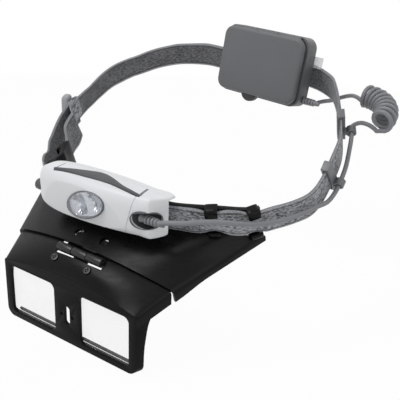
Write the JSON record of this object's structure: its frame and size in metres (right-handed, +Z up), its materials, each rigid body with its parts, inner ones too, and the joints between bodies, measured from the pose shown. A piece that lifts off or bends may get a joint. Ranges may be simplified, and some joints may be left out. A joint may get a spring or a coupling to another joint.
{
  "type": "lighted headband magnifier",
  "caption": "Headband magnifier with a flip-up visor of two lenses, a lamp on the brow with a push switch, a coiled cord and a battery box at the back.",
  "frame": {"origin": "middle of the headband loop, where the centre of the wearer's head is", "axes": "+X towards the wearer's left, -Y forward, +Z up with the lenses upright; millimetres in the source, metres in the row"},
  "size_m": [0.2446, 0.2203, 0.1737],
  "materials": {
    "black_gloss": "gloss",
    "black_plastic": "satin",
    "black_steel": "satin",
    "lens_clear": "polished",
    "bright_steel": "brushed",
    "white_gloss": "gloss",
    "lamp_grey": "satin",
    "chrome_trim": "polished",
    "window_clear": "polished",
    "led_cream": "gloss",
    "board_green": "satin",
    "grey_soft": "matte",
    "cord_grey": "satin",
    "webbing": "woven",
    "grey_plastic": "satin",
    "box_grey": "satin",
    "cell_metal": "satin",
    "contact_brass": "satin",
    "bracket_clear": "clear"
  },
  "bodies": {
    "headband": {"visor_plate": "black_gloss", "brow_band": "black_plastic", "hinge_leaf_upper": "black_steel", "hinge_screws_upper": "black_steel", "hinge_pin": "black_steel", "lamp_front": "white_gloss", "lamp_back": "lamp_grey", "lamp_end_cap": "white_gloss", "lamp_bezel": "chrome_trim", "lamp_window": "window_clear", "lamp_reflector": "chrome_trim", "lamp_leds": "led_cream", "lamp_board": "board_green", "lamp_screws": "bright_steel", "lamp_relief": "cord_grey", "strap_front": "webbing", "strap_rear": "webbing", "strap_tail": "webbing", "buckle": "grey_plastic", "cord_clip_front": "grey_plastic", "cord_clip_rear": "grey_plastic", "battery_case": "box_grey", "lid_pin": "bright_steel", "battery_cells": "cell_metal", "battery_contacts": "contact_brass", "driver_board": "board_green", "strap_bracket": "bracket_clear", "bracket_screws": "bright_steel", "box_relief": "cord_grey", "cord_front": "cord_grey", "cord_coil": "cord_grey", "cord_rear": "cord_grey"},
    "visor": {"lens_hood": "black_gloss", "lens_frame": "black_plastic", "lens_left": "lens_clear", "lens_right": "lens_clear", "lens_retainer": "black_plastic", "retainer_screws": "bright_steel", "hinge_leaf_lower": "black_steel", "hinge_screws_lower": "black_steel"},
    "top_switch": {"top_switch": "grey_soft"},
    "side_button": {"side_button": "grey_soft"},
    "lid": {"battery_lid": "box_grey"},
    "latch": {"lid_latch": "grey_soft"}
  },
  "joints": [
    {"name": "visor_flip", "type": "hinge", "parent": "headband", "child": "visor", "pos_m": [0, -0.11804, -0.05404], "axis": [-1, 0, 0], "range_deg": [0, 95]},
    {"name": "top_switch_press", "type": "slide", "parent": "headband", "child": "top_switch", "axis": [0, 0, -1], "range_m": [0, 0.001], "stiffness_N_per_m": 800, "springref_m": -0.001},
    {"name": "side_button_press", "type": "slide", "parent": "headband", "child": "side_button", "axis": [1, 0, 0], "range_m": [0, 0.001], "stiffness_N_per_m": 800, "springref_m": -0.001},
    {"name": "lid_open", "type": "hinge", "parent": "headband", "child": "lid", "pos_m": [0.01549, 0.06874, 0.05815], "axis": [-0.992, 0.1255, 0.0121], "range_deg": [0, 95]},
    {"name": "latch_press", "type": "slide", "parent": "headband", "child": "latch", "axis": [0.0329, 0.1651, 0.9857], "range_m": [0, 0.001], "stiffness_N_per_m": 600, "springref_m": -0.001}
  ]
}
